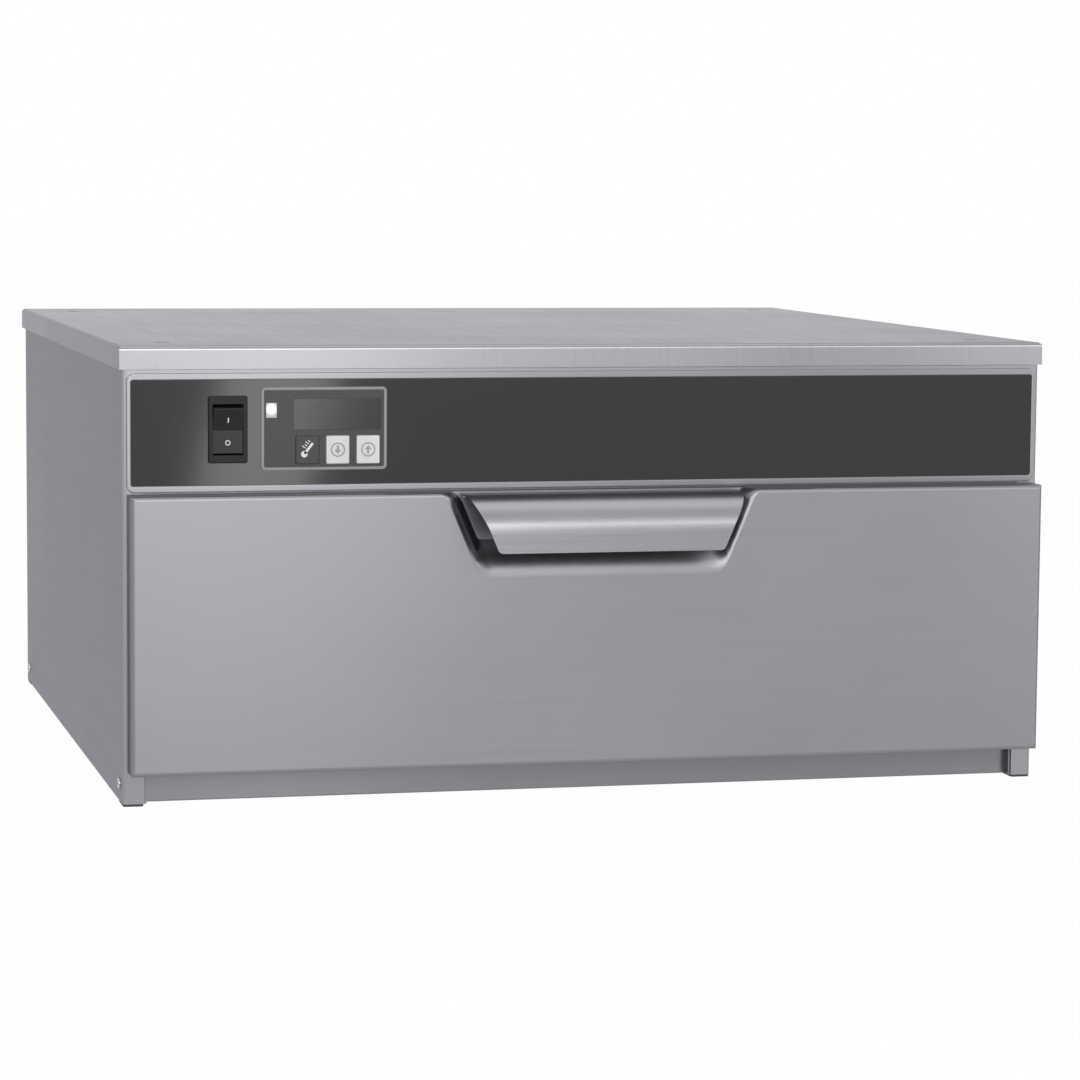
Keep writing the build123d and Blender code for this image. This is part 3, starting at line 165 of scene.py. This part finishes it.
def combine(make, join, operation, a, b):
    """The sum or product of two values."""
    node = make("ShaderNodeMath")
    node.operation = operation
    join(a, node.inputs[0])
    join(b, node.inputs[1])
    return node.outputs[0]


# The direction across the brush lines, turned a little off each axis so that no face lies square to it.
across_lines = {"x": (0.0, 0.02, 1.0), "y": (1.0, 0.01, 0.05), "z": (1.0, 0.05, 0.02)}


def brush_lines(make, join, along, waves_along, waves_across, detail):
    """Noise drawn out into lines that run along the axes named in along."""
    return stretched_noise(make, join, [waves_along if a in along else waves_across for a in "xyz"], detail)


def brushed_steel(name, along, tone, roughness, edge, lines=0.05, cool=0.05, spread=0.6):
    """Stainless sheet with brush lines along an axis, or along two where they go on round a fold. tone is
    its brightness seen square on, edge how strongly it mirrors at a glancing angle, lines how much the lines
    vary, cool how bluish it is, and spread how far its highlights are drawn out across the lines."""
    handling, unevenness = 0.015, 0.02
    mat = bpy.data.materials.new(name)
    shader, make, join = node_chain(mat)
    shader.inputs["Metallic"].default_value = 1.0
    shader.inputs["Anisotropic"].default_value = spread
    across = make("ShaderNodeCombineXYZ")
    for socket, share in zip(across.inputs, across_lines[along[0]]):
        socket.default_value = share
    join(across.outputs["Vector"], shader.inputs["Tangent"])
    shader.inputs["Specular Tint"].default_value = (edge, edge, edge * (1 + 1.5 * cool), 1.0)
    fine = brush_lines(make, join, along, waves_along=30.0, waves_across=2400.0, detail=4.0)
    broad = brush_lines(make, join, along, waves_along=7.0, waves_across=420.0, detail=5.0)
    handled = stretched_noise(make, join, (6.0, 6.0, 6.0), 3.0)
    grain = combine(make, join, "ADD", remap(make, join, fine, -lines * 0.6, lines * 0.6),
                    remap(make, join, broad, -lines * 0.4, lines * 0.4))
    cloudy = remap(make, join, handled, 1.0 - handling, 1.0 + handling)
    shade = make("ShaderNodeMath")
    shade.operation = "ADD"
    shade.inputs[1].default_value = 1.0
    join(grain, shade.inputs[0])
    shade = combine(make, join, "MULTIPLY", shade.outputs[0], cloudy)
    colour = make("ShaderNodeVectorMath")
    colour.operation = "SCALE"
    colour.inputs[0].default_value = (tone * (1 - cool / 4), tone, tone * (1 + cool))
    join(shade, colour.inputs["Scale"])
    join(colour.outputs["Vector"], shader.inputs["Base Color"])
    rough = combine(make, join, "ADD",
                    remap(make, join, broad, roughness - unevenness, roughness + unevenness),
                    remap(make, join, handled, -unevenness, unevenness))
    join(rough, shader.inputs["Roughness"])
    bump = make("ShaderNodeBump")
    bump.inputs["Strength"].default_value = 0.06
    bump.inputs["Distance"].default_value = 0.00004
    join(fine, bump.inputs["Height"])
    join(bump.outputs["Normal"], shader.inputs["Normal"])
    return mat


def finish_nodes(names, mat):
    """Gives CAD pieces a material."""
    for name in names.split():
        for material_slot in nodes[name].material_slots:
            material_slot.material = mat


lid_steel = brushed_steel("lid_steel", "yz", 0.292, 0.24, 0.49, lines=0.055)
side_steel = brushed_steel("side_steel", "y", 0.30, 0.36, 0.5, lines=0.03)
front_steel = brushed_steel("front_steel", "x", 0.26, 0.34, 0.6, lines=0.03)
back_steel = brushed_steel("back_steel", "x", 0.33, 0.4, 0.6)
finish_nodes("top_cover", lid_steel)
finish_nodes("left_side_panel right_side_panel", side_steel)
finish_nodes("face_frame top_rail fascia_plate", front_steel)
# The front rail is the case steel at a darker tone, standing for the shade under the overhanging drawer front:
# painted shade.
finish_nodes("front_rail", brushed_steel("rail_steel_painted_shade", "x", 0.20, 0.3, 0.5, lines=0.03))
finish_nodes("back_panel bottom_panel", back_steel)


# Screws. Stainless machine screws: countersunk ones flush in the lid, and pan heads in the sides and back,
# turned from bar so that their heads are brighter and smoother than the sheet.
screw_steel = brushed_steel("screw_steel", "z", 0.5, 0.24, 0.8, lines=0.03)
finish_nodes("cover_screws case_screws drawer_screws board_screws", screw_steel)


# Feet, cable gland and seal. Black rubber pads under the corners, a black nylon gland in the back panel, and a
# matt rubber seal round the back of the drawer front.
def moulded(name, colour, roughness, grain, waves=1800.0, specular=0.5, vary=0.04):
    """Plastic or rubber from a mould: one colour with a slight unevenness, and a fine grain in its surface.
    waves is the grain's number of waves to the metre, and vary how much the roughness varies with it."""
    mottle = 0.06
    mat = bpy.data.materials.new(name)
    shader, make, join = node_chain(mat)
    shader.inputs["Specular IOR Level"].default_value = specular
    skin = stretched_noise(make, join, (waves, waves, waves), 3.0)
    patch = stretched_noise(make, join, (40.0, 40.0, 40.0), 3.0)
    tint = make("ShaderNodeVectorMath")
    tint.operation = "SCALE"
    tint.inputs[0].default_value = colour
    join(remap(make, join, patch, 1.0 - mottle, 1.0 + mottle), tint.inputs["Scale"])
    join(tint.outputs["Vector"], shader.inputs["Base Color"])
    join(remap(make, join, skin, roughness - vary, roughness + vary), shader.inputs["Roughness"])
    bump = make("ShaderNodeBump")
    bump.inputs["Strength"].default_value = grain
    bump.inputs["Distance"].default_value = 0.00005
    join(skin, bump.inputs["Height"])
    join(bump.outputs["Normal"], shader.inputs["Normal"])
    return mat


finish_nodes("corner_feet drawer_gasket", moulded("seal_rubber", (0.035, 0.035, 0.036), 0.75, 0.3))
finish_nodes("cable_gland", moulded("gland_nylon", (0.03, 0.03, 0.032), 0.42, 0.2))


# Cavity. Thin stainless liner sheets in their mill finish, duller than the outside, with the air probe and the
# high limit cut-out in plain drawn steel.
liner_steel = brushed_steel("liner_steel", "y", 0.38, 0.42, 0.7, lines=0.03)
finish_nodes("liner_floor liner_roof liner_side_walls liner_back_wall electronics_tray", liner_steel)
finish_nodes("temperature_probe high_limit_thermostat",
             brushed_steel("drawn_steel", "y", 0.5, 0.25, 0.8, lines=0.02))


# Insulation and heater. Yellowish mineral wool cut in slabs, and a silicone-covered resistance cable laid in
# runs under the cavity floor.
wool = bpy.data.materials.new("mineral_wool")
shader, make, join = node_chain(wool)
fibre = stretched_noise(make, join, (260.0, 700.0, 260.0), 8.0)
clump = stretched_noise(make, join, (30.0, 30.0, 30.0), 4.0)
ramp = make("ShaderNodeValToRGB")
ramp.color_ramp.elements[0].color = (0.30, 0.26, 0.15, 1.0)
ramp.color_ramp.elements[0].position = 0.3
ramp.color_ramp.elements[1].color = (0.62, 0.57, 0.38, 1.0)
ramp.color_ramp.elements[1].position = 0.72
join(combine(make, join, "MULTIPLY", fibre, remap(make, join, clump, 0.9, 1.15)), ramp.inputs["Fac"])
join(ramp.outputs["Color"], shader.inputs["Base Color"])
shader.inputs["Roughness"].default_value = 0.95
bump = make("ShaderNodeBump")
bump.inputs["Strength"].default_value = 0.8
bump.inputs["Distance"].default_value = 0.001
join(fibre, bump.inputs["Height"])
join(bump.outputs["Normal"], shader.inputs["Normal"])
finish_nodes("insulation_pads drawer_front_insulation", wool)
finish_nodes("heating_cable", moulded("heater_silicone", (0.42, 0.06, 0.035), 0.5, 0.2))


# Electrical parts. Black phenolic terminal strip and relay, a green circuit board with fine tracks, and white
# nylon spacers.
finish_nodes("power_relay terminal_block tactile_switches",
             moulded("part_black", (0.03, 0.03, 0.033), 0.4, 0.2))
finish_nodes("board_spacers", moulded("spacer_nylon", (0.75, 0.75, 0.72), 0.45, 0.1))
board_green = bpy.data.materials.new("board_green")
shader, make, join = node_chain(board_green)
place = make("ShaderNodeTexCoord")
turn = make("ShaderNodeMapping")
turn.inputs["Rotation"].default_value = (math.radians(90), 0.0, 0.0)
join(place.outputs["Object"], turn.inputs["Vector"])
tracks = make("ShaderNodeTexBrick")
tracks.inputs["Color1"].default_value = (0.012, 0.11, 0.045, 1.0)
tracks.inputs["Color2"].default_value = (0.016, 0.14, 0.06, 1.0)
tracks.inputs["Mortar"].default_value = (0.05, 0.26, 0.12, 1.0)
tracks.inputs["Scale"].default_value = 160.0
tracks.inputs["Mortar Size"].default_value = 0.03
join(turn.outputs["Vector"], tracks.inputs["Vector"])
join(tracks.outputs["Color"], shader.inputs["Base Color"])
shader.inputs["Roughness"].default_value = 0.35
finish_nodes("control_board", board_green)


# Control panel. A dark polycarbonate sheet with a satin hard coat, held by a bright anodised moulding with
# rounded corners.
finish_nodes("control_panel_trim", brushed_steel("trim_aluminium", "x", 0.25, 0.3, 0.7, lines=0.03))
panel_sheet = moulded("panel_sheet", (0.010, 0.010, 0.011), 0.09, 0.006, waves=700.0, vary=0.01)
finish_nodes("control_overlay", panel_sheet)


# Keypad. The same dark sheet inside a light grey moulded frame, a smoked display window with unlit digits, a
# white lamp lens that glows round its middle, and moulded keys with printed symbols: two light grey, one dark.
finish_nodes("keypad_overlay", moulded("keypad_sheet", (0.013, 0.013, 0.014), 0.3, 0.03, waves=900.0))
finish_nodes("keypad_bezel", moulded("keypad_frame", (0.20, 0.205, 0.215), 0.4, 0.1))
finish_nodes("display_lens display_module", moulded("smoked_window", (0.006, 0.006, 0.007), 0.14, 0.0))
finish_nodes("down_key up_key", moulded("key_grey", (0.55, 0.56, 0.57), 0.42, 0.12))
finish_nodes("temperature_key", moulded("key_dark", (0.016, 0.016, 0.018), 0.38, 0.08))
lamp_lens = moulded("lamp_lens", (0.42, 0.42, 0.41), 0.25, 0.05)
shader, make, join = node_chain(lamp_lens)
glow_strength, glow_rise, glow_full, glow_end = 0.9, 0.0008, 0.001, 0.0046
low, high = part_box("heat_indicator")
place = make("ShaderNodeTexCoord")
from_lamp = make("ShaderNodeVectorMath")
from_lamp.operation = "DISTANCE"
from_lamp.inputs[1].default_value = ((low.x + high.x) / 2, low.y, (low.z + high.z) / 2 + glow_rise)
join(place.outputs["Object"], from_lamp.inputs[0])
shader.inputs["Emission Color"].default_value = (1.0, 1.0, 0.98, 1.0)
join(remap(make, join, from_lamp.outputs["Value"], glow_strength, 0.0, glow_full, glow_end),
     shader.inputs["Emission Strength"])
finish_nodes("heat_indicator", lamp_lens)

print_grey = moulded("print_grey", (0.25, 0.25, 0.26), 0.5, 0.05)
print_white = moulded("print_white", (0.6, 0.61, 0.62), 0.5, 0.05)
ink_thickness = 0.00006


def printed(name, outlines, front, mat, body):
    """Flat printed shapes, each a list of (x, z) points, a hair's breadth proud of a face at y = front."""
    mesh = bmesh.new()
    for outline in outlines:
        near = [mesh.verts.new((x, front - ink_thickness, z)) for x, z in outline]
        far = [mesh.verts.new((x, front, z)) for x, z in outline]
        mesh.faces.new(near)
        mesh.faces.new(far[::-1])
        for i in range(len(outline)):
            mesh.faces.new((near[i], far[i], far[i - 1], near[i - 1]))
    data = bpy.data.meshes.new(name)
    bmesh.ops.recalc_face_normals(mesh, faces=mesh.faces[:])
    mesh.to_mesh(data)
    mesh.free()
    piece = bpy.data.objects.new(name, data)
    bpy.context.scene.collection.objects.link(piece)
    piece.data.materials.append(mat)
    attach(piece, body)
    return piece


def ring_bands(x, z, radius, width, start=0.0, turn=2 * math.pi, steps=40):
    """A ring or part of one, as a row of small four-sided pieces."""
    angles = [start + turn * i / steps for i in range(steps + 1)]
    rim = [[(x + r * math.cos(a), z + r * math.sin(a)) for a in angles] for r in (radius, radius - width)]
    return [[rim[0][i], rim[0][i + 1], rim[1][i + 1], rim[1][i]] for i in range(steps)]


def oblong(left, right, bottom, top):
    """The outline of an upright oblong."""
    return [(left, bottom), (right, bottom), (right, top), (left, top)]


arrow_ring, arrow_ring_width, arrow_reach, arrow_wing, arrow_stem = 0.0047, 0.0009, 0.0028, 0.0024, 0.00075
for key_name, body, points in (("up_key", "up_button", 1), ("down_key", "down_button", -1)):
    low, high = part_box(key_name)
    x, z = (low.x + high.x) / 2, (low.z + high.z) / 2
    tip, tail = z + arrow_reach * points, z - arrow_reach * points
    shapes = ring_bands(x, z, arrow_ring, arrow_ring_width)
    shapes.append([(x, tip), (x - arrow_wing, z), (x + arrow_wing, z)])
    shapes.append([(x - arrow_stem, z), (x - arrow_stem, tail), (x + arrow_stem, tail), (x + arrow_stem, z)])
    printed(key_name + "_arrow", shapes, low.y, print_grey, body)

low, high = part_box("temperature_key")
x, z = (low.x + high.x) / 2, (low.z + high.z) / 2
bulb_radius, bulb_place, stem_half, stem_foot, stem_head = 0.0021, -0.0034, 0.0008, -0.003, 0.0056
scale_start, scale_step, stroke_height = -0.0002, 0.0017, 0.0006
stroke_near, stroke_far, stroke_shorter = -0.0018, -0.0044, 0.0009
shapes = ring_bands(0.0, bulb_place, bulb_radius, bulb_radius * 0.98, steps=24)
shapes.append(oblong(-stem_half, stem_half, stem_foot, stem_head))
for i in range(4):
    stroke = scale_start + i * scale_step
    reach = stroke_far + stroke_shorter * (i % 2)
    shapes.append(oblong(reach, stroke_near, stroke, stroke + stroke_height))
lean = Matrix.Rotation(math.radians(-38.0), 2)
leaning = [[lean @ Vector(point) for point in shape] for shape in shapes]
shapes = [[(x + point.x, z + point.y) for point in shape] for shape in leaning]
printed("temperature_mark", shapes, low.y, print_white, "temperature_button")

low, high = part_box("display_lens")
digit_height, digit_width, digit_pitch, segment, slant = 0.0125, 0.0075, 0.0145, 0.0011, 0.12
middle_z = (low.z + high.z) / 2
segment_shapes = []
for i in range(3):
    left = (low.x + high.x) / 2 + (i - 1) * digit_pitch - digit_width / 2
    for row in (0, 1, 2):
        z = middle_z + (row - 1) * (digit_height - segment) / 2
        x = left + slant * (z - middle_z)
        segment_shapes.append(oblong(x + segment, x + digit_width - segment, z - segment / 2, z + segment / 2))
    for column in (0, 1):
        for half in (-1, 0):
            z = middle_z + half * digit_height / 2 + segment
            top = z + digit_height / 2 - 2 * segment
            foot = left + column * (digit_width - segment) + slant * (z - middle_z)
            head = left + column * (digit_width - segment) + slant * (top - middle_z)
            segment_shapes.append([(foot, z), (foot + segment, z), (head + segment, top), (head, top)])
unlit = moulded("unlit_segment", (0.0085, 0.008, 0.0085), 0.16, 0.0)
printed("display_digits", segment_shapes, low.y, unlit, "cabinet")


# Power rocker. A glossy black rocker with its on and off marks printed in white, in a satin black housing. It
# stands tipped, so its lower face is upright and its upper face leans out from the ridge between them.
finish_nodes("power_rocker", moulded("rocker_gloss", (0.004, 0.004, 0.005), 0.22, 0.03, specular=0.3))
finish_nodes("rocker_switch_housing",
             moulded("switch_black", (0.004, 0.004, 0.005), 0.4, 0.15, specular=0.25))
low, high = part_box("power_rocker")
rocker_x = (low.x + high.x) / 2
pivot = Vector(next(joint["pos_m"] for joint in frame["joints"] if joint["name"] == "power_rocker_hinge"))
ridge_reach, rest_tilt = 0.004, math.radians(9.0)
ridge = Vector((rocker_x, pivot.y - ridge_reach * math.cos(rest_tilt),
                pivot.z - ridge_reach * math.sin(rest_tilt)))
mark_half, mark_line, line_half, off_drop, on_rise = 0.0017, 0.0006, 0.00035, 0.0085, 0.0065
off_shapes = ring_bands(rocker_x, pivot.z - off_drop, mark_half, mark_line, steps=32)
printed("off_mark", off_shapes, ridge.y, print_white, "rocker")
on_middle = pivot.z + on_rise
on_shape = oblong(rocker_x - line_half, rocker_x + line_half, on_middle - mark_half, on_middle + mark_half)
on_mark = printed("on_mark", [on_shape], ridge.y, print_white, "rocker")
on_mark.data.transform(Matrix.Translation(ridge) @ Matrix.Rotation(2 * rest_tilt, 4, "X")
                       @ Matrix.Translation(-ridge))


# Drawer. A pressed stainless front with rolled edges and a drawn pocket, brushed from side to side, and behind
# it the folded frame that carries the pan.
drawer_steel = brushed_steel("drawer_steel", "x", 0.238, 0.36, 0.6, lines=0.025, spread=0.5)
finish_nodes("drawer_front_skin", drawer_steel)
finish_nodes("drawer_front_inner drawer_frame", liner_steel)


# Handle. One strip of stainless, brushed along its length, folded to a lip with a hem and spot welded to the
# back of the pocket.
handle_steel = brushed_steel("handle_steel", "x", 0.28, 0.27, 0.7, lines=0.03)
finish_nodes("drawer_handle", handle_steel)


# Slides. Bright zinc-plated steel channels, three on each side, with hard steel balls held in drilled strips
# between them.
slide_zinc = brushed_steel("slide_zinc", "y", 0.5, 0.28, 0.8, lines=0.03, cool=0.08)
finish_nodes("outer_rails inner_rails right_middle_rail left_middle_rail", slide_zinc)
finish_nodes("right_outer_ball_cage left_outer_ball_cage right_inner_ball_cage left_inner_ball_cage",
             brushed_steel("ball_steel", "y", 0.6, 0.15, 0.9, lines=0.01))


# Pan. A deep drawn steel pan that lifts out of the frame, brighter than the drawer's front and with its lines
# running from side to side.
finish_nodes("food_pan", brushed_steel("pan_steel", "x", 0.48, 0.26, 0.8, lines=0.03))


# Output. The colours are shown as they are, without a tone curve.
bpy.context.scene.view_settings.view_transform = "Standard"
bpy.context.view_layer.update()
